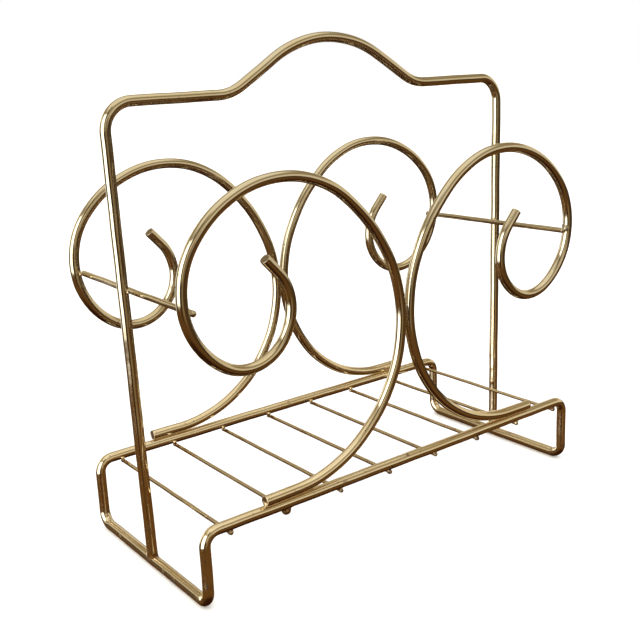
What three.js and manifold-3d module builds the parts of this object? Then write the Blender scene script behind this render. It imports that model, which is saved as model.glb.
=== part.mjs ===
// A magazine rack of bent and welded wire: a base loop on two foot bars, a deck of thin rungs,
// four scroll sides, two tie rods and one carrying handle. Every joint is a weld bead of its own.
// Millimetres, +Z up, the front towards -Y. The origin is on the floor under the rack's middle.
import * as THREE from "three";
import { mergeVertices } from "three/addons/utils/BufferGeometryUtils.js";
import Module from "manifold-3d";

const wasm = await Module();
wasm.setup();

// Driving dimensions. Lengths and heights run between wire centrelines unless a note says otherwise.
const frameWire = 6.35; // diameter of the base, handle and scroll wire
const rungWire = 2.4;
const tieWire = 3.6;
const joint = {
  gap: 0.3, // between two wires that are welded together
  beadGap: 0.08, // between a weld bead and each wire it joins
};
const base = {
  length: 297.1,
  depth: 131.2,
  rise: 42.3, // from the foot bars up to the rails
  railBend: 8.3,
  footBend: 8.1,
  seamGap: 1, // between the loop's two ends, in the middle of the rear rail
};
const handle = {
  shoulderHeight: 272.8, // above the floor
  splay: 5.1, // how far each leg leans out by the height of the shoulder
  cornerRadius: 16.5,
  humpFoot: 81.8, // from the middle to where the shoulder starts to rise
  humpRise: 31,
  humpSlope: 31.9, // degrees
  filletRadius: 34.1,
};
const scroll = {
  lead: 21.3, // the straight tail on the rail
  sweep: { radius: 85.7, pastMiddle: 23.5 }, // turns a right angle to the middle, and a little more
  shoulder: { radius: 112.7, turn: 28.1 },
  crownTurn: 89.6, // its radius is worked out, so that the flank meets the tie rod
  flank: { radius: 47.2, turn: 99.1 },
  curl: { radius: 29.6, turn: 162.2 },
  tip: 11.9, // the straight end inside the curl
};
const rungs = {
  count: 8,
  leftInset: 8, // from the left end of the rails' straight run to the first rung
  rightInset: 1.7,
  overhang: 1.5, // past the rails' centrelines
};
const tie = {
  belowWidest: 5.3, // under the height where the scrolls are widest
  proud: -2, // past the scrolls' outer faces
};
const weld = {
  spread: 1.3, // how far a bead reaches past the side of the wire that it holds
  crestWidth: 4.8, // across a bead that lies along the crest between two thick wires
  tailLength: 10,
  middleLength: 12,
  footSpread: 0.7,
  footThickness: 5.2,
};
const mesh = {
  frameSides: 12,
  thinSides: 8,
  bendSag: 0.3, // how far a bend's flat steps may stray from the true curve
  widestStep: 18, // degrees
  beadSides: 10,
  beadRings: 6,
};

const frameRadius = frameWire / 2;
const yAxis = new THREE.Vector3(0, 1, 0);
const point = (x, y, z) => new THREE.Vector3(x, y, z);
const radians = THREE.MathUtils.degToRad;

// A wire's centreline, made of straight runs and round bends one after the other. Its points are
// the ends of the runs and the steps of the bends, so that a straight run takes one step only.
class WirePath extends THREE.Curve {
  constructor(start, heading) {
    super();
    this.stations = [{ at: start.clone(), heading: heading.clone().normalize() }];
  }

  get end() {
    return this.stations[this.stations.length - 1];
  }

  get steps() {
    return this.stations.length - 1;
  }

  run(length) {
    const { at, heading } = this.end;
    this.stations.push({ at: at.clone().addScaledVector(heading, length), heading });
    return this;
  }

  // The same path with both its ends drawn out.
  drawnOut(length) {
    const path = new WirePath(this.stations[0].at, this.stations[0].heading);
    path.stations = this.stations.map((station) => ({ ...station, at: station.at.clone() }));
    path.stations[0].at.addScaledVector(path.stations[0].heading, -length);
    path.end.at.addScaledVector(path.end.heading, length);
    return path;
  }

  // Turns the wire by an angle about an axis that is square to it.
  bend(radius, angle, axis) {
    const { at, heading } = this.end;
    const spoke = heading.clone().cross(axis).multiplyScalar(radius);
    const centre = at.clone().sub(spoke);
    const stepAngle = Math.min(2 * Math.acos(1 - mesh.bendSag / radius), radians(mesh.widestStep));
    const steps = Math.ceil(angle / stepAngle);
    for (let i = 1; i <= steps; i++) {
      const turned = (angle * i) / steps;
      this.stations.push({
        at: spoke.clone().applyAxisAngle(axis, turned).add(centre),
        heading: heading.clone().applyAxisAngle(axis, turned),
      });
    }
    return this;
  }

  stationAt(u) {
    return this.stations[Math.round(u * this.steps)];
  }

  getPointAt(u, target = new THREE.Vector3()) {
    return target.copy(this.stationAt(u).at);
  }

  getTangentAt(u, target = new THREE.Vector3()) {
    return target.copy(this.stationAt(u).heading);
  }
}

// A wire through a list of corners, each rounded to its own centreline radius.
function roundedPath(start, corners, finish) {
  const path = new WirePath(start, corners[0].at.clone().sub(start));
  corners.forEach(({ at, radius }, i) => {
    const next = i + 1 < corners.length ? corners[i + 1].at : finish;
    const heading = path.end.heading;
    const leaving = next.clone().sub(at).normalize();
    const turn = heading.angleTo(leaving);
    const setback = radius * Math.tan(turn / 2);
    path.run(path.end.at.distanceTo(at) - setback);
    path.bend(radius, turn, heading.clone().cross(leaving).normalize());
  });
  return path.run(path.end.at.distanceTo(finish));
}

// A round section with flats across the path's own axes, so that a straight wire has a flat below.
function roundSection(diameter, sides) {
  const cornerRadius = diameter / 2 / Math.cos(Math.PI / sides);
  const corners = Array.from({ length: sides }, (_, i) => {
    const angle = ((i + 0.5) * 2 * Math.PI) / sides;
    return new THREE.Vector2(cornerRadius * Math.cos(angle), cornerRadius * Math.sin(angle));
  });
  return new THREE.Shape(corners);
}

function wireGeometry(path, diameter) {
  const sides = diameter > (frameWire + tieWire) / 2 ? mesh.frameSides : mesh.thinSides;
  return new THREE.ExtrudeGeometry(roundSection(diameter, sides), {
    steps: path.steps,
    extrudePath: path,
  });
}

// A closed three.js geometry as a solid, and back.
function solidFrom(geometry) {
  const bare = geometry.clone();
  bare.deleteAttribute("normal");
  bare.deleteAttribute("uv");
  const merged = mergeVertices(bare, 1e-4);
  return new wasm.Manifold(
    new wasm.Mesh({
      numProp: 3,
      vertProperties: merged.attributes.position.array,
      triVerts: new Uint32Array(merged.index.array),
    }),
  );
}

function geometryFrom(solid) {
  const { vertProperties, triVerts } = solid.getMesh();
  const geometry = new THREE.BufferGeometry();
  geometry.setAttribute("position", new THREE.BufferAttribute(vertProperties, 3));
  geometry.setIndex(new THREE.BufferAttribute(triVerts, 1));
  geometry.computeVertexNormals();
  return geometry;
}

const wire = (path, diameter) => ({ path, diameter });
const solidWire = ({ path, diameter }) => solidFrom(wireGeometry(path, diameter));
const grown = ({ path, diameter }, gap) => {
  return solidWire(wire(path.drawnOut(gap), diameter + 2 * gap));
};

// Levels and places that several pieces share.
const footZ = frameRadius;
const railZ = footZ + base.rise;
const endX = base.length / 2;
const sideY = base.depth / 2;
const legFootZ = frameWire; // a leg stands on top of its foot bar
const legLean = handle.splay / (handle.shoulderHeight - legFootZ);
const legX = (z) => endX + legLean * (z - legFootZ);

// The base: one wire bent into a loop of two rails and two foot bars. Its ends meet in the middle
// of the rear rail.
function basePath() {
  const corner = (x, y, z, radius) => ({ at: point(x, y, z), radius });
  const corners = [
    corner(-endX, sideY, railZ, base.railBend),
    corner(-endX, sideY, footZ, base.footBend),
    corner(-endX, -sideY, footZ, base.footBend),
    corner(-endX, -sideY, railZ, base.railBend),
    corner(endX, -sideY, railZ, base.railBend),
    corner(endX, -sideY, footZ, base.footBend),
    corner(endX, sideY, footZ, base.footBend),
    corner(endX, sideY, railZ, base.railBend),
  ];
  const halfGap = base.seamGap / 2;
  return roundedPath(point(-halfGap, sideY, railZ), corners, point(halfGap, sideY, railZ));
}

// The handle: two legs, two level shoulders and a round hump between them. The hump's radius
// follows from its rise and slope.
function handlePath() {
  const slope = radians(handle.humpSlope);
  const shoulderZ = handle.shoulderHeight;
  const kneeX = handle.humpFoot - handle.filletRadius * Math.tan(slope / 2);
  const apexRise = kneeX * Math.tan(slope);
  const humpRadius = (apexRise - handle.humpRise) / (1 / Math.cos(slope) - 1);
  const corner = (x, z, radius) => ({ at: point(x, 0, z), radius });
  const corners = [
    corner(-legX(shoulderZ), shoulderZ, handle.cornerRadius),
    corner(-kneeX, shoulderZ, handle.filletRadius),
    corner(0, shoulderZ + apexRise, humpRadius),
    corner(kneeX, shoulderZ, handle.filletRadius),
    corner(legX(shoulderZ), shoulderZ, handle.cornerRadius),
  ];
  return roundedPath(point(-legX(footZ), 0, footZ), corners, point(legX(footZ), 0, footZ));
}

// A scroll touches its mirror image in the rack's middle, where it runs straight up.
const scrollMiddleX = frameRadius + joint.gap / 2;
const tailZ = railZ + frameWire + joint.gap;
const arcsToFlank = (crownRadius) => [
  { radius: scroll.sweep.radius, turn: 90 },
  { radius: scroll.sweep.radius, turn: scroll.sweep.pastMiddle },
  scroll.shoulder,
  { radius: crownRadius, turn: scroll.crownTurn },
];

// One scroll, from its tail's end on the rail to its tip. Side is -1 for the left, 1 for the right.
function scrollPath(crownRadius, side, y) {
  const tailX = scrollMiddleX + scroll.sweep.radius + scroll.lead;
  const path = new WirePath(point(side * tailX, y, tailZ), point(-side, 0, 0)).run(scroll.lead);
  for (const { radius, turn } of [...arcsToFlank(crownRadius), scroll.flank, scroll.curl]) {
    path.bend(radius, radians(turn), point(0, side, 0));
  }
  return path.run(scroll.tip);
}

// Where the flank's centreline passes the tie rod, as distances from the middle and the floor, for
// a crown of a given radius.
function flankBesideTie(crownRadius) {
  let x = scrollMiddleX + scroll.sweep.radius;
  let z = tailZ;
  let heading = 0;
  for (const { radius, turn } of arcsToFlank(crownRadius)) {
    const next = heading + radians(turn);
    x -= radius * (Math.sin(next) - Math.sin(heading));
    z += radius * (Math.cos(heading) - Math.cos(next));
    heading = next;
  }
  const { radius } = scroll.flank;
  const centreX = x + radius * Math.sin(heading);
  const centreZ = z + radius * Math.cos(heading);
  return {
    x: centreX + Math.sqrt(radius ** 2 - tie.belowWidest ** 2),
    z: centreZ - tie.belowWidest,
  };
}

// The flank has to stand as far out as the leg does, because the tie rod lies against both, and
// further by what its flat steps cut off inside the bend. The difference grows evenly with the
// crown's radius, so two trial radii give the true one.
function fittedCrownRadius() {
  const miss = (radius) => {
    const flank = flankBesideTie(radius);
    return flank.x - mesh.bendSag - legX(flank.z);
  };
  const [first, second] = [scroll.flank.radius, scroll.sweep.radius];
  return first - (miss(first) * (second - first)) / (miss(second) - miss(first));
}

const crownRadius = fittedCrownRadius();
const flank = flankBesideTie(crownRadius);
const tieX = legX(flank.z) - frameRadius - joint.gap - tieWire / 2;
const rungZ = railZ - frameRadius - joint.gap - rungWire / 2;

const straightAcross = (x, z, halfLength) => {
  return new WirePath(point(x, -halfLength, z), yAxis).run(2 * halfLength);
};

const sides = [
  { name: "left", x: -1 },
  { name: "right", x: 1 },
];
const faces = [
  { name: "front", y: -1 },
  { name: "rear", y: 1 },
];

// Every wire by name.
const wires = new Map();
wires.set("base_frame", wire(basePath(), frameWire));
wires.set("handle_frame", wire(handlePath(), frameWire));
for (const face of faces) {
  for (const side of sides) {
    const path = scrollPath(crownRadius, side.x, face.y * sideY);
    wires.set(`scroll_${face.name}_${side.name}`, wire(path, frameWire));
  }
}
const firstRungX = -endX + base.railBend + rungs.leftInset;
const lastRungX = endX - base.railBend - rungs.rightInset;
const rungX = (i) => THREE.MathUtils.lerp(firstRungX, lastRungX, i / (rungs.count - 1));
for (let i = 0; i < rungs.count; i++) {
  const path = straightAcross(rungX(i), rungZ, sideY + rungs.overhang);
  wires.set(`rung_${i + 1}`, wire(path, rungWire));
}
for (const side of sides) {
  const path = straightAcross(side.x * tieX, flank.z, sideY + frameRadius + tie.proud);
  wires.set(`tie_rod_${side.name}`, wire(path, tieWire));
}

// A weld bead: a ball stretched round the place where wires meet, less those wires.
function weldBead(centre, halfSize, names) {
  const ball = new THREE.SphereGeometry(1, mesh.beadSides, mesh.beadRings)
    .rotateX(Math.PI / 2)
    .scale(halfSize.x, halfSize.y, halfSize.z)
    .translate(centre.x, centre.y, centre.z);
  const cut = (bead, name) => bead.subtract(grown(wires.get(name), joint.beadGap));
  return geometryFrom(names.reduce(cut, solidFrom(ball)));
}

const beads = new Map();
const addBead = (name, centre, halfSize, names) => {
  beads.set(`weld_${name}`, weldBead(centre, halfSize, names));
};

// Each rung's two ends, under the rails.
const rungReach = rungWire / 2 + weld.spread;
for (const face of faces) {
  for (let i = 1; i <= rungs.count; i++) {
    const centre = point(rungX(i - 1), face.y * sideY, rungZ + (rungWire + joint.gap) / 2);
    const halfSize = point(rungReach, rungReach, rungWire / 2);
    addBead(`rung_${i}_${face.name}`, centre, halfSize, ["base_frame", `rung_${i}`]);
  }
}

// Each scroll's tail on its rail, and each pair of scrolls where they touch.
const crestReach = weld.crestWidth / 2;
for (const face of faces) {
  const y = face.y * sideY;
  const pair = sides.map((side) => `scroll_${face.name}_${side.name}`);
  sides.forEach((side, i) => {
    const tailX = wires.get(pair[i]).path.stations[0].at.x;
    const centre = point(tailX - (side.x * weld.tailLength) / 2, y, (railZ + tailZ) / 2);
    const halfSize = point(weld.tailLength / 2, crestReach, crestReach);
    addBead(`tail_${face.name}_${side.name}`, centre, halfSize, ["base_frame", pair[i]]);
  });
  const touchZ = tailZ + scroll.sweep.radius;
  const halfSize = point(crestReach, crestReach, weld.middleLength / 2);
  addBead(`middle_${face.name}`, point(0, y, touchZ), halfSize, pair);
}

// Each tie rod against its two scrolls and its leg, and each leg on its foot bar.
const tieReach = point(tieWire / 2, tieWire / 2 + weld.spread, tieWire / 2 + weld.spread);
const legReach = frameRadius + weld.footSpread;
const footReach = point(legReach, legReach, weld.footThickness / 2);
for (const side of sides) {
  const tieName = `tie_rod_${side.name}`;
  const touchX = side.x * (tieX + (tieWire + joint.gap) / 2);
  for (const face of faces) {
    const centre = point(touchX, face.y * sideY, flank.z);
    const names = [`scroll_${face.name}_${side.name}`, tieName];
    addBead(`tie_${face.name}_${side.name}`, centre, tieReach, names);
  }
  addBead(`tie_leg_${side.name}`, point(touchX, 0, flank.z), tieReach, ["handle_frame", tieName]);
  const footCentre = point(side.x * legX(legFootZ), 0, legFootZ);
  addBead(`foot_${side.name}`, footCentre, footReach, ["base_frame", "handle_frame"]);
}

// The loop's butt weld: a disc between the wire's two ends, dressed flush with the wire.
function seamGeometry() {
  const thickness = base.seamGap - 2 * joint.beadGap;
  return new THREE.CylinderGeometry(frameRadius, frameRadius, thickness, mesh.frameSides)
    .rotateZ(Math.PI / 2)
    .translate(0, sideY, railZ);
}
beads.set("weld_base_seam", seamGeometry());

// The handle's legs are cut to the round of the foot bars that they stand on.
function handleGeometry() {
  const bow = solidWire(wires.get("handle_frame"));
  return geometryFrom(bow.subtract(grown(wires.get("base_frame"), joint.gap)));
}

// Finishes.
const brass = (name, roughness) => {
  return new THREE.MeshStandardMaterial({ name, color: 0xb99a5b, metalness: 1, roughness });
};
const wireFinish = brass("brass_wire", 0.22);
const beadFinish = brass("weld_bead", 0.4);

const rack = new THREE.Group();
function place(name, geometry, material) {
  const piece = new THREE.Mesh(geometry, material);
  piece.name = name;
  rack.add(piece);
}
for (const [name, { path, diameter }] of wires) {
  const geometry = name === "handle_frame" ? handleGeometry() : wireGeometry(path, diameter);
  place(name, geometry, wireFinish);
}
for (const [name, geometry] of beads) place(name, geometry, beadFinish);

export default rack;
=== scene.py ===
# A wire magazine rack in aged brass plate: round bent wires and their weld fillets, one piece for
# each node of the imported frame. Sizes in the dictionaries are millimetres and degrees.
import math

import bpy
import numpy as np
from mathutils import Matrix, Vector


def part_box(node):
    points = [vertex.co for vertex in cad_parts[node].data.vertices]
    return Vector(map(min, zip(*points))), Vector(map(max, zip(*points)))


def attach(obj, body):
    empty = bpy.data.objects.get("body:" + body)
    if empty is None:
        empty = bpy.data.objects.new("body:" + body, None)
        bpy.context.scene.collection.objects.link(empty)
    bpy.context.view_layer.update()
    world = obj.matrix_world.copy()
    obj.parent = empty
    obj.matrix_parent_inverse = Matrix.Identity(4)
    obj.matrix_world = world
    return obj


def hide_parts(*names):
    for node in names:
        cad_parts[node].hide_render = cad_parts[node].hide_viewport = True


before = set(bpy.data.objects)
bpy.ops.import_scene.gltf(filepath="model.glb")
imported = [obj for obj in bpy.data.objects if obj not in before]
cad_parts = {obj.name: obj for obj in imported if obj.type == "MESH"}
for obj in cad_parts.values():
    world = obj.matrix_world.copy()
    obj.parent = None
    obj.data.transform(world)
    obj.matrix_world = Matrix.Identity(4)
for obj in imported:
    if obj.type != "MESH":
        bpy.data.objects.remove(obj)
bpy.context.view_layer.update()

mm = 0.001
xAxis, yAxis = np.eye(3)[:2]
print("frame loaded,", len(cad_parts), "nodes")


def unit(vector):
    # the vector over its own length
    return np.asarray(vector, float) / np.linalg.norm(vector)


def turned(vector, axis, angles):
    # every angle at once: v cos a + (axis x v) sin a + axis (axis . v) (1 - cos a)
    c, s = np.cos(angles)[:, None], np.sin(angles)[:, None]
    return vector * c + np.cross(axis, vector) * s + axis * (vector @ axis) * (1 - c)


def straightRun(pose, length, step):
    # the start plus the heading times the distance
    d = np.linspace(0, length, max(2, round(length / step) + 1))[:, None]
    at, ahead, side = pose
    same = np.ones_like(d)
    return at + ahead * d, ahead * same, side * same, np.zeros((len(d), 3))


def roundBend(pose, radius, degrees, axis, step):
    # the spoke from the bend's centre to the wire turns about the axis, and the heading with it
    at, ahead, side = pose
    spoke = np.cross(ahead, axis) * radius
    angles = np.linspace(0, math.radians(degrees), max(4, round(math.radians(degrees) * radius / step) + 1))
    spokes = turned(spoke, axis, angles)
    return at - spoke + spokes, turned(ahead, axis, angles), turned(side, axis, angles), -spokes / radius**2


def bentWire(at, ahead, moves, step=1.0):
    # one array for each of place, heading, side and curvature, along all the runs and bends
    ahead = unit(ahead)
    side = unit(np.cross(ahead, xAxis if abs(ahead[0]) < 0.9 else yAxis))
    pose, pieces = (np.asarray(at, float), ahead, side), []
    for kind, *sizes in moves:
        made = straightRun(pose, *sizes, step) if kind == "run" else roundBend(pose, *sizes, step)
        pieces.append(made if not pieces else tuple(array[1:] for array in made))
        pose = tuple(array[-1] for array in made[:3])
    return tuple(np.concatenate(arrays) for arrays in zip(*pieces))


def throughCorners(points, radii, step=1.0):
    # straight runs between the points, each corner rounded to its own centreline radius
    points = np.asarray(points, float)
    moves, done = [], 0
    for before, corner, after, radius in zip(points, points[1:], points[2:], radii):
        arriving, leaving = unit(corner - before), unit(after - corner)
        turn = math.acos(float(arriving @ leaving))
        setback = radius * math.tan(turn / 2)
        moves.append(("run", float(np.linalg.norm(corner - before)) - done - setback))
        moves.append(("bend", radius, math.degrees(turn), unit(np.cross(arriving, leaving))))
        done = setback
    moves.append(("run", float(np.linalg.norm(points[-1] - points[-2])) - done))
    return bentWire(points[0], points[1] - points[0], moves, step)


wireFinish = {
    "sides": 40,
    "thinSides": 24,
    "wander": 0.12,  # how far a hand-bent wire strays from its true line
    "swell": 0.004,  # slow changes in its thickness, as a share
    "ovalBend": 0.22,  # how much a bend flattens the section, times (thickness / bend) squared
    "chamfer": 0.35,
    "rim": 0.9,  # the cut face's radius, as a share
    "cutTilt": 5,
}


def slowWaves(distance, lengths, rng):
    # a sum of sines of the distance, each with its own length and chance phase, from -1 to 1
    phases = rng.uniform(0, 2 * math.pi, len(lengths))
    waves = np.sin(2 * math.pi * distance[:, None] / np.asarray(lengths) + phases)
    return waves.mean(axis=1)


def meshFrom(name, points, faces, smooth=True):
    # an object at the origin, its points brought from millimetres to metres
    mesh = bpy.data.meshes.new(name)
    mesh.from_pydata((points * mm).tolist(), [], faces)
    mesh.polygons.foreach_set("use_smooth", np.full(len(mesh.polygons), smooth))
    mesh.update()
    piece = bpy.data.objects.new(name, mesh)
    bpy.context.scene.collection.objects.link(piece)
    return piece


def gridFaces(rings, sides):
    # a tube of quads, ring after ring, closed at both ends by a fan to a pole point
    i, j = np.meshgrid(np.arange(rings - 1), np.arange(sides), indexing="ij")
    k = (j + 1) % sides
    quads = np.stack([i * sides + j, i * sides + k, (i + 1) * sides + k, (i + 1) * sides + j], -1)
    first, last = rings * sides, rings * sides + 1
    j = np.arange(sides)
    k, tail = (j + 1) % sides, (rings - 1) * sides
    fans = np.concatenate([
        np.stack([np.full(sides, first), k, j], -1),
        np.stack([np.full(sides, last), tail + j, tail + k], -1),
    ])
    return quads.reshape(-1, 4).tolist() + fans.tolist()


def wirePiece(name, path, thickness, seed, cuts=(True, True)):
    # a round section carried along the path: place + r (cos a side + sin a across), where r swells
    # slowly along the wire and is less in a bend's own plane; both ends are chamfered, cut faces
    look = wireFinish
    rng = np.random.default_rng(seed)
    at, ahead, side, curve = (array.copy() for array in path)
    across = np.cross(ahead, side)
    radius = thickness / 2
    sides = look["sides"] if thickness > 5 else look["thinSides"]
    gaps = np.linalg.norm(np.diff(at, axis=0), axis=1)
    distance = np.concatenate([[0], np.cumsum(gaps)])
    total = distance[-1]
    fade = np.clip(np.minimum(distance, total - distance) / 25, 0, 1)
    for direction in (side, across):
        stray = slowWaves(distance, (67, 113, 31), rng) * fade * look["wander"]
        at += direction * stray[:, None]
    swell = 1 + look["swell"] * slowWaves(distance, (9, 17, 43, 5.3), rng)

    inset = [0, 0, 0, look["chamfer"] * 0.35, look["chamfer"]]
    share = [0.35, 0.7, look["rim"], 0.968, 1]
    if not cuts[0] and not cuts[1]:
        inset, share = [0, 0, 0, 0.02, 0.05], [0.35, 0.7, 0.99, 0.999, 1]
    inset, share = np.array(inset), np.array(share)
    body = slice(1, len(at) - 1)

    def rows(array):
        # the body's rows between five copies of each end's, which the chamfer and the cut face take
        return np.concatenate([np.repeat(array[:1], 5, 0), array[body], np.repeat(array[-1:], 5, 0)])

    along = np.concatenate([inset, distance[body], total - inset[::-1]])
    shares = np.concatenate([share, np.ones(len(at) - 2), share[::-1]])
    push = np.concatenate([inset, np.zeros(len(at) - 2), -inset[::-1]])
    at, ahead, side, across, curve = (rows(array) for array in (at, ahead, side, across, curve))
    swell = rows(swell)
    at = at + ahead * push[:, None]

    angles = np.arange(sides) * 2 * math.pi / sides
    normals = np.cos(angles)[:, None] * side[:, None, :] + np.sin(angles)[:, None] * across[:, None, :]
    kernel = np.hanning(9) / np.hanning(9).sum()
    bent = np.stack([np.convolve(np.pad(curve[:, k], 4, "edge"), kernel, "valid") for k in range(3)], -1)
    inPlane = np.einsum("ijk,ik->ij", normals, bent) * radius  # (thickness / bend) times the cosine
    oval = 1 - look["ovalBend"] * (2 * inPlane**2 - ((bent * radius) ** 2).sum(-1)[:, None])
    reach = radius * shares[:, None] * swell[:, None] * oval
    points = at[:, None, :] + normals * reach[..., None]
    tilt = math.tan(math.radians(look["cutTilt"])) * radius
    for ring, sign in [(slice(0, 3), 1), (slice(-3, None), -1)]:
        lean = tilt * shares[ring, None] * np.cos(angles + rng.uniform(0, 2 * math.pi))
        wanted = float(cuts[0 if sign > 0 else 1])
        points[ring] += ahead[ring][:, None, :] * (lean + tilt * sign)[..., None] * wanted
    poles = np.stack([points[0].mean(0), points[-1].mean(0)])
    piece = meshFrom(name, np.concatenate([points.reshape(-1, 3), poles]), gridFaces(len(points), sides))
    straight = np.stack(np.broadcast_arrays(
        along[:, None], radius * np.cos(angles)[None, :], radius * np.sin(angles)[None, :]), -1)
    ends = np.array([[along[0], 0, 0], [along[-1], 0, 0]])
    flow = np.concatenate([straight.reshape(-1, 3), ends]) * mm
    layer = piece.data.attributes.new("straightWire", "FLOAT_VECTOR", "POINT")
    layer.data.foreach_set("vector", flow.astype(np.float32).ravel())
    cut = np.zeros(len(points))
    cut[:3], cut[-3:] = cuts[0], cuts[1]
    cut = np.concatenate([np.repeat(cut, sides), cuts]).astype(np.float32)
    piece.data.attributes.new("cutFace", "FLOAT", "POINT").data.foreach_set("value", cut)
    return piece


def lowHigh(node):
    low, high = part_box(node)
    return np.array(low) / mm, np.array(high) / mm


baseLow, baseHigh = lowHigh("base_frame")
scrollLow, scrollHigh = lowHigh("scroll_front_right")
rungLow, rungHigh = lowHigh("rung_1")
tieLow, tieHigh = lowHigh("tie_rod_right")
wire = scrollHigh[1] - scrollLow[1]
rungWire = rungHigh[2] - rungLow[2]
tieWire = tieHigh[2] - tieLow[2]
radius = wire / 2
endX, sideY = baseHigh[0] - radius, baseHigh[1] - radius
footZ, railZ = baseLow[2] + radius, baseHigh[2] - radius
tailZ = scrollLow[2] + radius
tieX, tieZ = (tieLow[0] + tieHigh[0]) / 2, (tieLow[2] + tieHigh[2]) / 2
pieces = {}

baseBends = {"rail": 8.3, "foot": 8.1, "seamGap": 1}


def makeBase():
    # one loop through eight corners, from one side of its seam to the other
    size = baseBends
    gap = size["seamGap"] / 2
    x, y = endX, sideY
    points = [
        (-gap, y, railZ), (-x, y, railZ), (-x, y, footZ), (-x, -y, footZ), (-x, -y, railZ),
        (x, -y, railZ), (x, -y, footZ), (x, y, footZ), (x, y, railZ), (gap, y, railZ),
    ]
    rail, foot = size["rail"], size["foot"]
    path = throughCorners(points, [rail, foot, foot, rail, rail, foot, foot, rail])
    pieces["base_frame"] = wirePiece("baseLoop", path, wire, 11, (False, False))


handleBow = {
    "shoulder": 272.8,
    "splay": 5.1,
    "corner": 16.5,
    "humpFoot": 81.8,
    "humpRise": 31,
    "humpSlope": 31.9,
    "fillet": 34.1,
}


def legX(z):
    # a leg leans out evenly from the foot bar to the shoulder
    bow = handleBow
    return endX + bow["splay"] * (z - wire) / (bow["shoulder"] - wire)


def makeHandle():
    # legs and level shoulders with round corners; the hump is an arc that touches both slopes
    bow = handleBow
    slope = math.radians(bow["humpSlope"])
    kneeX = bow["humpFoot"] - bow["fillet"] * math.tan(slope / 2)
    apex = kneeX * math.tan(slope)
    hump = (apex - bow["humpRise"]) / (1 / math.cos(slope) - 1)
    low, high = footZ + radius * 0.6, bow["shoulder"]
    points = [
        (-legX(low), 0, low), (-legX(high), 0, high), (-kneeX, 0, high), (0, 0, high + apex),
        (kneeX, 0, high), (legX(high), 0, high), (legX(low), 0, low),
    ]
    radii = [bow["corner"], bow["fillet"], hump, bow["fillet"], bow["corner"]]
    pieces["handle_frame"] = wirePiece("handleBow", throughCorners(points, radii), wire, 23)


scrollBends = {
    "lead": 21.3,
    "sweep": (85.7, 113.5),  # radius and turn
    "shoulder": (112.7, 28.1),
    "crown": (70.0, 89.6),
    "flank": (47.2, 99.1),
    "curl": (29.6, 162.2),
    "tip": 11.9,
    "settle": {"front": (1.4, 0.15), "rear": (0, 0)},  # a tail leans out over its rail, and sits lower
    "settleRun": 85,
}
# how much nearer to the middle a scroll's flank stands
drawnIn = {"scroll_front_left": 1.3, "scroll_rear_left": 0.5}


def flankShift(face, sideName):
    # the scroll's own share of drawnIn, or nothing
    return drawnIn.get(f"scroll_{face}_{sideName}", 0)


def makeScroll(face, sideName, facing, side, seed):
    # a straight tail, then arcs that each go on from the last one's heading; the tail eases out and
    # down over its rail, and the flank is drawn in by the square of its way out from the middle
    size = scrollBends
    tailX = radius + scrollLow[0] + size["sweep"][0] + size["lead"]
    axis = yAxis * side
    bends = [("bend", *size[part], axis) for part in ("sweep", "shoulder", "crown", "flank", "curl")]
    moves = [("run", size["lead"]), *bends, ("run", size["tip"])]
    path = bentWire((side * tailX, facing * sideY, tailZ), (-side, 0, 0), moves)
    left = np.clip(1 - np.arange(len(path[0])) / size["settleRun"], 0, 1)
    out, down = size["settle"][face]
    path[0][:] += (left**2 * (3 - 2 * left))[:, None] * np.array([0, facing * out, -down])
    path[0][:, 0] -= side * flankShift(face, sideName) * (path[0][:, 0] / endX) ** 2
    name = f"scroll_{face}_{sideName}"
    pieces[name] = wirePiece("scroll" + face.capitalize() + sideName.capitalize(), path, wire, seed)


makeBase()
makeHandle()
places = [
    (face, name, y, x)
    for face, y in (("front", -1), ("rear", 1))
    for name, x in (("left", -1), ("right", 1))
]
for seed, place in enumerate(places, 31):
    makeScroll(*place, seed)
for number in range(1, 9):
    low, high = lowHigh(f"rung_{number}")
    middle = (low + high) / 2
    path = bentWire((middle[0], low[1], middle[2]), yAxis, [("run", high[1] - low[1])])
    pieces[f"rung_{number}"] = wirePiece(f"rung{number}", path, rungWire, 50 + number)
tieSet = {"left": (-1.7, 0.0135), "right": (-0.95, -0.0054)}  # a rod's lift, and its rise to the rear


def rodX(sideName, y):
    # the rod lies on both flanks, so it runs straight from the front one's shift to the rear one's
    front, rear = flankShift("front", sideName), flankShift("rear", sideName)
    return tieX - (front + rear) / 2 - (rear - front) / 2 * y / sideY


def tieHeight(sideName, y):
    # the frame's height, the rod's own lift, and its rise times the way to the rear
    lift, rise = tieSet[sideName]
    return tieZ + lift + rise * y


for sideName in ("left", "right"):
    side = 1 if sideName == "right" else -1
    reachY = (tieLow[1], tieHigh[1])
    ends = [np.array([side * rodX(sideName, y), y, tieHeight(sideName, y)]) for y in reachY]
    path = bentWire(ends[0], ends[1] - ends[0], [("run", float(np.linalg.norm(ends[1] - ends[0])))])
    pieces[f"tie_rod_{sideName}"] = wirePiece("tieRod" + sideName.capitalize(), path, tieWire, 70)
print("wires made,", len(pieces))


weldLook = {
    "rows": 40,
    "columns": 56,
    "probes": 90,
    "inset": 0.03,  # how deep a fillet's edge dives under the wires
    "grain": 0.035,  # the height of the bead's lumps
    "bigNub": 2.9,  # the second rung from the left ends in a larger drop
    "rungReach": {"front": ((4.6, 4.6, 4.4), 1.2), "rear": ((3.2, 3.9, 3.6), 0.5)},  # and the fillet
    "tieReach": (3.6, 4.2, 4.2),
}


def rodDistance(a, b, thickness):
    # the distance to the nearest point of the segment from a to b, less the radius
    a, b = np.asarray(a, float), np.asarray(b, float)
    span = b - a

    def distance(p):
        t = np.clip((p - a) @ span / (span @ span), 0, 1)
        return np.linalg.norm(p - a - t[..., None] * span, axis=-1) - thickness / 2
    return distance


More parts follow.
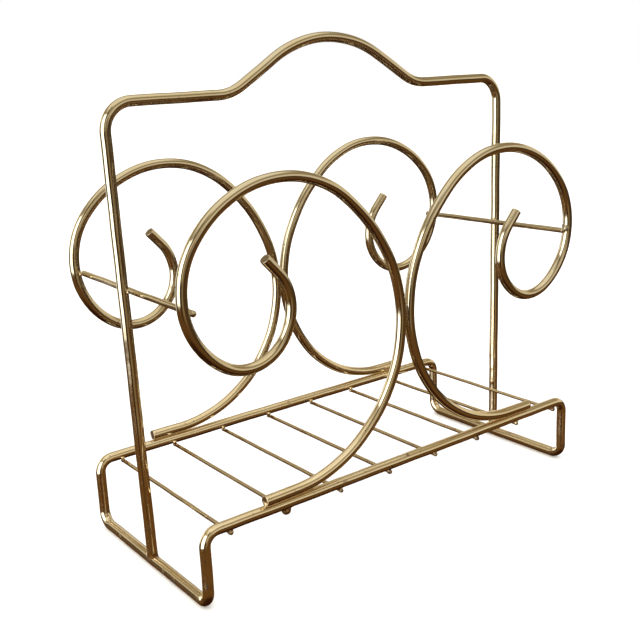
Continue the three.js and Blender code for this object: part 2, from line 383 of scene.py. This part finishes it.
def ringDistance(centre, bend, thickness):
    # the distance to a ring of wire that stands square to Y
    centre = np.asarray(centre, float)

    def distance(p):
        q = p - centre
        out = np.hypot(q[..., 0], q[..., 2]) - bend
        return np.hypot(out, q[..., 1]) - thickness / 2
    return distance


def dropDistance(centre, size):
    # the distance to a ball: to its middle, less its radius
    centre = np.asarray(centre, float)
    return lambda p: np.linalg.norm(p - centre, axis=-1) - size


def together(*shapes, blend=0.5):
    # several shapes as one, their creases slightly filled
    def distance(p):
        field = shapes[0](p)
        for shape in shapes[1:]:
            field = smoothLeast(field, shape(p), blend)
        return field
    return distance


def smoothLeast(a, b, blend):
    # the smaller of two distances, rounded off where they are nearly equal
    near = np.clip(blend - np.abs(a - b), 0, None) / blend
    return np.minimum(a, b) - near**2 * blend / 4


def weldPiece(node, centre, reach, shapes, blend, seed):
    # in every direction from the joint's middle, the first distance at which the rounded least of
    # the shapes' distances is zero, and no further than an ellipsoid of the given reach
    look = weldLook
    rng = np.random.default_rng(seed)
    rows, columns = look["rows"], look["columns"]
    polar = (np.arange(rows) + 0.5)[:, None] * math.pi / rows
    around = np.arange(columns)[None, :] * 2 * math.pi / columns
    ball = np.stack(np.broadcast_arrays(
        np.sin(polar) * np.cos(around), np.sin(polar) * np.sin(around), -np.cos(polar)), -1)
    ball = np.concatenate([ball.reshape(-1, 3), [[0, 0, -1], [0, 0, 1]]])
    rays = ball * np.asarray(reach, float)
    t = np.linspace(0, 1, look["probes"])
    probes = np.asarray(centre, float) + rays[:, None, :] * t[None, :, None]
    field = shapes[0](probes)
    for shape in shapes[1:]:
        field = smoothLeast(field, shape(probes), blend)
    waves = rng.normal(0, 1.1, (6, 3))
    lumps = np.sin(probes @ waves.T + rng.uniform(0, 2 * math.pi, 6)).mean(-1)
    field = field + look["inset"] + look["grain"] * lumps * np.clip(1 - t * 0.5, 0, 1)
    outside = field > 0
    outside[:, 0] = False
    hit = np.where(outside.any(1), outside.argmax(1), look["probes"] - 1)
    before = np.maximum(hit - 1, 0)
    rowIndex = np.arange(len(rays))
    f0, f1 = field[rowIndex, before], field[rowIndex, hit]
    share = np.where(f1 > 0, np.clip(-f0 / np.maximum(f1 - f0, 1e-9), 0, 1), 1)
    t0 = t[before]
    length = np.where(outside.any(1), t0 + (t[hit] - t0) * share, 1)
    points = np.asarray(centre, float) + rays * length[:, None]
    words = node.split("_")
    name = words[0] + "".join(word.capitalize() for word in words[1:])
    pieces[node] = meshFrom(name, points, gridFaces(rows, columns))


def makeWelds():
    look = weldLook
    rails = {"front": -sideY, "rear": sideY}
    frontRear, leftRight = rails.items(), (("left", -1), ("right", 1))
    rng = np.random.default_rng(5)
    for face, y in frontRear:
        out = math.copysign(1, y)
        rail = rodDistance((-endX, y, railZ), (endX, y, railZ), wire)
        for number in range(1, 9):
            low, high = lowHigh(f"rung_{number}")
            x, z = (low[0] + high[0]) / 2, (low[2] + high[2]) / 2
            endY = high[1] if out > 0 else low[1]
            rung = rodDistance((x, 0, z), (x, endY - out * rungWire / 2, z), rungWire)
            size, tuck = rng.uniform(1.35, 1.75) if out < 0 else 1.35, 0.2
            shift = rng.uniform(-0.4, 0.4)
            if (number, face) == (2, "front"):
                size, tuck, shift = look["bigNub"], 1.3, -1.0
            drop = dropDistance((x + shift, endY - out * (size - tuck), z + (size - 1.5) * 0.5), size)
            middle = (x, y, (railZ - radius + high[2]) / 2)
            nub = together(rung, drop)
            reach, blend = look["rungReach"][face]
            weldPiece(f"weld_rung_{number}_{face}", middle, reach, [rail, nub], blend, 100 + number)
    for face, y in frontRear:
        rail = rodDistance((-endX, y, railZ), (endX, y, railZ), wire)
        crest = (railZ + tailZ) / 2
        bend = scrollBends["sweep"][0]
        arcX = radius + scrollLow[0] + bend
        tailX = arcX + scrollBends["lead"]
        for sideName, side in leftRight:
            out, down = scrollBends["settle"][face]
            tailY = y + math.copysign(out, y)
            tail = rodDistance((side * (tailX - radius), tailY, tailZ - down), (0, tailY, tailZ - down), wire)
            shapes = [rail, tail]
            if (face, sideName) == ("front", "left"):
                shapes[1] = together(tail, dropDistance((side * (tailX - 0.6), y - 1.9, crest - 0.3), 1.4))
            if (face, sideName) == ("front", "right"):
                shapes[1] = together(tail, dropDistance((side * (tailX + 0.8), y - 0.4, crest - 0.4), 1.5))
            middle = (side * (tailX - 4), (y + tailY) / 2, crest)
            weldPiece(f"weld_tail_{face}_{sideName}", middle, (6.5, 4.2, 3.2), shapes, 0.7, 131)
        touch = tailZ + bend
        rings = [ringDistance((side * arcX, y, touch), bend, wire) for _, side in leftRight]
        weldPiece(f"weld_middle_{face}", (0, y, touch), (3.2, 4.0, 8.5), rings, 2.0, 141)
    for sideName, side in leftRight:
        reachY = (tieLow[1] + 1, tieHigh[1] - 1)
        ends = [(side * rodX(sideName, y), y, tieHeight(sideName, y)) for y in reachY]
        rod = rodDistance(*ends, tieWire)
        for face, y in frontRear:
            z = tieHeight(sideName, y)
            flankX = side * (legX(tieZ) - flankShift(face, sideName))
            touchX = side * (rodX(sideName, y) + tieWire / 2)
            flank = rodDistance((flankX, y, tieZ - 9), (flankX, y, tieZ + 9), wire)
            weldPiece(f"weld_tie_{face}_{sideName}", (touchX, y, z), look["tieReach"], [rod, flank], 1.1, 151)
        leg = rodDistance((side * legX(wire), 0, wire), (side * legX(260), 0, 260), wire)
        middle = (side * (rodX(sideName, 0) + tieWire / 2), 0, tieHeight(sideName, 0))
        weldPiece(f"weld_tie_leg_{sideName}", middle, look["tieReach"], [rod, leg], 1.1, 161)
        bar = rodDistance((side * endX, -sideY, footZ), (side * endX, sideY, footZ), wire)
        leg = rodDistance((side * legX(wire), 0, wire + 1), (side * legX(60), 0, 60), wire)
        weldPiece(f"weld_foot_{sideName}", (side * endX, 0, wire), (4.8, 6.5, 5.5), [bar, leg], 2.4, 171)
    rail = rodDistance((-30, sideY, railZ), (30, sideY, railZ), wire + 0.16)
    weldPiece("weld_base_seam", (0, sideY, railZ), (1.6, 5, 5), [rail], 1, 181)


makeWelds()
print("welds made,", len(pieces))


def addNode(tree, kind, inputs=None, **settings):
    node = tree.nodes.new(kind)
    for name, value in settings.items():
        setattr(node, name, value)
    for name, value in (inputs or {}).items():
        if isinstance(value, bpy.types.NodeSocket):
            tree.links.new(value, node.inputs[name])
        else:
            node.inputs[name].default_value = value
    return node


def maths(tree, operation, a, b=0.0, clamp=False):
    return addNode(tree, "ShaderNodeMath", {0: a, 1: b}, operation=operation, use_clamp=clamp).outputs[0]


def remap(tree, value, low, high, toLow=0.0, toHigh=1.0, smooth=True):
    kind = "SMOOTHSTEP" if smooth else "LINEAR"
    inputs = {"Value": value, "From Min": low, "From Max": high, "To Min": toLow, "To Max": toHigh}
    return addNode(tree, "ShaderNodeMapRange", inputs, interpolation_type=kind).outputs[0]


def mixColour(tree, share, a, b):
    node = addNode(tree, "ShaderNodeMix", data_type="RGBA")
    for socket, value in ((node.inputs[0], share), (node.inputs[6], a), (node.inputs[7], b)):
        if isinstance(value, bpy.types.NodeSocket):
            tree.links.new(value, socket)
        else:
            socket.default_value = value
    return node.outputs[2]


def grainNoise(tree, vector, scale, detail=3.0, roughness=0.5):
    inputs = {"Vector": vector, "Scale": scale, "Detail": detail, "Roughness": roughness}
    return addNode(tree, "ShaderNodeTexNoise", inputs).outputs["Fac"]


def sparseSpots(tree, vector, scale, share, size):
    # ragged spots in a chance share of the cells: each fades out between its size and half of it
    ragged = addNode(tree, "ShaderNodeTexNoise", {"Vector": vector, "Scale": scale * 2.5, "Detail": 2.0})
    shaken = addNode(tree, "ShaderNodeVectorMath", {0: ragged.outputs["Color"]}, operation="SCALE")
    shaken.inputs["Scale"].default_value = 0.5 / scale
    moved = addNode(tree, "ShaderNodeVectorMath", {0: vector, 1: shaken.outputs[0]}, operation="ADD").outputs[0]
    cells = addNode(tree, "ShaderNodeTexVoronoi", {"Vector": moved, "Scale": float(scale)})
    chance = addNode(tree, "ShaderNodeSeparateColor", {"Color": cells.outputs["Color"]}).outputs[0]
    chosen = maths(tree, "LESS_THAN", chance, share)
    return maths(tree, "MULTIPLY", remap(tree, cells.outputs["Distance"], size, size / 2), chosen)


brassPlate = {
    "bright": (0.98, 0.87, 0.68, 1),
    "mellow": (0.93, 0.80, 0.57, 1),
    "tarnish": (0.20, 0.095, 0.03, 1),
    "pit": (0.035, 0.014, 0.005, 1),
    "roughness": 0.09,
    "tarnishRoughness": 0.4,
    "pitShare": 0.07,
    "cutDull": 0.6,
    "paintedUpperShade": (0.82, 0.84, 0.87, 1),  # painted shade: the colour is made darker and cooler above the deck
}


def brassMaterial(name, alongWire, look, dull=0.0):
    material = bpy.data.materials.new(name)
    material.use_nodes = True
    tree = material.node_tree
    shader = tree.nodes["Principled BSDF"]
    where = addNode(tree, "ShaderNodeTexCoord").outputs["Object"]
    height = addNode(tree, "ShaderNodeSeparateXYZ", {"Vector": where}).outputs["Z"]
    low = remap(tree, height, 0.11, 0.0)  # 1 at the floor, 0 above the deck
    mellow = remap(tree, grainNoise(tree, where, 38, 4), 0.35, 0.7)
    colour = mixColour(tree, mellow, look["bright"], look["mellow"])
    # painted shade: the brass colour is multiplied darker from 0.06 m up to 0.16 m and above
    upper = remap(tree, height, 0.06, 0.16)
    shade = mixColour(tree, upper, (1, 1, 1, 1), look["paintedUpperShade"])
    colour = addNode(tree, "ShaderNodeVectorMath", {0: colour, 1: shade}, operation="MULTIPLY").outputs[0]
    flow = where
    if alongWire:
        flow = addNode(tree, "ShaderNodeAttribute", attribute_name="straightWire").outputs["Vector"]
    stretched = addNode(tree, "ShaderNodeVectorMath", {0: flow, 1: (0.35, 1, 1)}, operation="MULTIPLY").outputs[0]
    cloud = grainNoise(tree, stretched if alongWire else where, 210 if alongWire else 160, 6, 0.65)
    edge = remap(tree, low, 0, 1, 0.74 - dull * 0.32, 0.57 - dull * 0.28, smooth=False)
    tarnish = remap(tree, maths(tree, "SUBTRACT", cloud, edge), 0.0, 0.12)
    colour = mixColour(tree, tarnish, colour, look["tarnish"])
    share = remap(tree, low, 0, 1, look["pitShare"] * 0.35, look["pitShare"] * 2.2, smooth=False)
    pit = sparseSpots(tree, where, 620, share, 0.30)
    colour = mixColour(tree, pit, colour, look["pit"])
    stain = sparseSpots(tree, where, 120, remap(tree, low, 0, 1, 0.03, 0.16, smooth=False), 0.22)
    colour = mixColour(tree, maths(tree, "MULTIPLY", stain, 0.75), colour, look["tarnish"])
    if alongWire:
        cut = addNode(tree, "ShaderNodeAttribute", attribute_name="cutFace").outputs["Fac"]
        colour = mixColour(tree, maths(tree, "MULTIPLY", cut, look["cutDull"]), colour, look["tarnish"])
    tree.links.new(colour, shader.inputs["Base Color"])
    shader.inputs["Metallic"].default_value = 1.0

    if alongWire:
        drawn = addNode(tree, "ShaderNodeVectorMath", {0: flow, 1: (0.03, 1, 1)}, operation="MULTIPLY").outputs[0]
        streaks = grainNoise(tree, drawn, 1500, 2)
    else:
        streaks = grainNoise(tree, where, 900, 4)
    scuffs = remap(tree, grainNoise(tree, where, 75, 5, 0.6), 0.5, 0.72)
    rough = remap(tree, streaks, 0.3, 0.7, look["roughness"] + dull * 0.12, look["roughness"] + 0.05 + dull * 0.2)
    rough = maths(tree, "ADD", rough, maths(tree, "MULTIPLY", scuffs, 0.07))
    worn = maths(tree, "MAXIMUM", maths(tree, "MAXIMUM", tarnish, pit), stain)
    rough = maths(tree, "ADD", rough, maths(tree, "MULTIPLY", worn, look["tarnishRoughness"]), clamp=True)
    if alongWire:
        rough = maths(tree, "ADD", rough, maths(tree, "MULTIPLY", cut, 0.22), clamp=True)
    tree.links.new(rough, shader.inputs["Roughness"])

    ripple = grainNoise(tree, where, 130, 2)
    relief = maths(tree, "MULTIPLY", ripple, 0.3 + dull)
    relief = maths(tree, "SUBTRACT", relief, maths(tree, "MULTIPLY", worn, 0.35))
    bump = addNode(tree, "ShaderNodeBump", {"Height": relief, "Strength": 0.16, "Distance": 0.0002})
    tree.links.new(bump.outputs[0], shader.inputs["Normal"])
    return material


wireBrass = brassMaterial("agedBrassWire", True, brassPlate)
weldBrass = brassMaterial("agedBrassWeld", False, brassPlate, dull=0.6)
for node, piece in pieces.items():
    isWeld = node.startswith("weld")
    piece.data.materials.append(weldBrass if isWeld else wireBrass)
    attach(piece, "root")
    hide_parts(node)
print("finishes made")


# the studio: what a polished wire sees, in plain light values; the levels go all round, and each
# takes over between two elevations; the panels stand before them, at azimuths from +X towards +Y
studio = {
    "backdrop": (1.0, 1.0, 1.0),
    "fill": (1.7, 1.7, 1.7),
    "levels": [
        ("floor below", -91, -90, (0.03, 0.01, 0.004)),
        ("floor", -60, -35, (0.12, 0.055, 0.015)),
        ("far floor", -22, -10, (0.06, 0.035, 0.015)),
        ("wall", -3, 5, (0.70, 0.60, 0.42)),
        ("upper wall", 22, 30, (0.30, 0.24, 0.14)),
        ("ceiling", 42, 60, (0.90, 0.82, 0.62)),
    ],
    "panels": [  # azimuth, half width, lowest and highest elevation, light
        ("window", 185, 25, -15, 40, (2.6, 2.5, 2.2)),
        ("lamp", 100, 10, -15, 15, (1.4, 1.4, 1.3)),
        ("curtain", 130, 8, -20, 15, (0.10, 0.07, 0.04)),
        ("door", 225, 6, -25, 60, (0.02, 0.01, 0.004)),
        ("bookcase", 260, 12, -20, 15, (0.25, 0.18, 0.09)),
    ],
    "edge": 4,  # how softly a panel ends
}


def panelShare(tree, turn, rise, azimuth, halfWidth, low, high):
    # 1 inside the panel's width and height, falling smoothly to 0 over the edge around it
    edge = studio["edge"]
    away = maths(tree, "FRACT", maths(tree, "ADD", turn, 0.5 - azimuth / 360))
    away = maths(tree, "ABSOLUTE", maths(tree, "SUBTRACT", away, 0.5))
    wide = remap(tree, away, (halfWidth + edge) / 360, halfWidth / 360)
    tall = maths(tree, "MULTIPLY", remap(tree, rise, low - edge, low), remap(tree, rise, high + edge, high))
    return maths(tree, "MULTIPLY", wide, tall)


def makeWorld():
    # the turn is the direction's azimuth as a share of the circle, the rise its elevation in degrees
    world = bpy.data.worlds.new("studio")
    bpy.context.scene.world = world
    world.use_nodes = True
    tree = world.node_tree
    direction = addNode(tree, "ShaderNodeTexCoord").outputs["Generated"]
    x, y, z = addNode(tree, "ShaderNodeSeparateXYZ", {"Vector": direction}).outputs
    turn = maths(tree, "FRACT", maths(tree, "DIVIDE", maths(tree, "ARCTAN2", y, x), 2 * math.pi))
    rise = maths(tree, "DEGREES", maths(tree, "ARCSINE", z))
    colour = (0, 0, 0, 1)
    for name, start, end, light in studio["levels"]:
        colour = mixColour(tree, remap(tree, rise, start, end), colour, (*light, 1))
    for name, *place, light in studio["panels"]:
        colour = mixColour(tree, panelShare(tree, turn, rise, *place), colour, (*light, 1))
    path = addNode(tree, "ShaderNodeLightPath").outputs
    colour = mixColour(tree, path["Is Diffuse Ray"], colour, (*studio["fill"], 1))
    colour = mixColour(tree, path["Is Camera Ray"], colour, (*studio["backdrop"], 1))
    tree.links.new(colour, tree.nodes["Background"].inputs["Color"])


floorLook = {"size": 30, "colour": (0.88, 0.875, 0.865, 1), "sun": 0.3, "softness": 50}


def makeFloor():
    size = floorLook["size"] / 2
    corners = np.array([(-size, -size, 0), (size, -size, 0), (size, size, 0), (-size, size, 0)]) / mm
    floor = meshFrom("floor", corners, [[0, 1, 2, 3]], smooth=False)
    material = bpy.data.materials.new("paleFloor")
    material.use_nodes = True
    shader = material.node_tree.nodes["Principled BSDF"]
    shader.inputs["Base Color"].default_value = floorLook["colour"]
    shader.inputs["Roughness"].default_value = 0.9
    floor.data.materials.append(material)
    floor.visible_glossy = False


def makeSun():
    lamp = bpy.data.lights.new("softTop", "SUN")
    lamp.energy = floorLook["sun"]
    lamp.angle = math.radians(floorLook["softness"])
    sun = bpy.data.objects.new("softTop", lamp)
    sun.rotation_euler = (math.radians(18), math.radians(-24), 0)
    sun.visible_glossy = False
    bpy.context.scene.collection.objects.link(sun)


cameraSettings = {
    "aim": (-0.0137, 0.0101, 0.1467),
    "distance": 0.6176,
    "azimuth": 36.40,
    "elevation": 13.074,
    "roll": -2.727,
    "lens": 52.892,
    "shift": (0.014, -0.0546),
}


def makeCamera():
    look = cameraSettings
    azimuth, elevation = math.radians(look["azimuth"]), math.radians(look["elevation"])
    level = Vector((math.sin(azimuth), math.cos(azimuth), 0))
    ahead = level * math.cos(elevation) - Vector((0, 0, 1)) * math.sin(elevation)
    right = ahead.cross(Vector((0, 0, 1))).normalized()
    up = right.cross(ahead)
    turn = Matrix((right, up, -ahead)).transposed() @ Matrix.Rotation(math.radians(look["roll"]), 3, "Z")
    data = bpy.data.cameras.new("camera")
    data.lens = look["lens"]
    data.shift_x, data.shift_y = look["shift"]
    camera = bpy.data.objects.new("camera", data)
    camera.matrix_world = Matrix.Translation(Vector(look["aim"]) - ahead * look["distance"]) @ turn.to_4x4()
    bpy.context.scene.collection.objects.link(camera)
    bpy.context.scene.camera = camera


makeWorld()
makeFloor()
makeSun()
makeCamera()
bpy.context.scene.view_settings.view_transform = "Standard"
print("surroundings made")

bpy.context.view_layer.update()
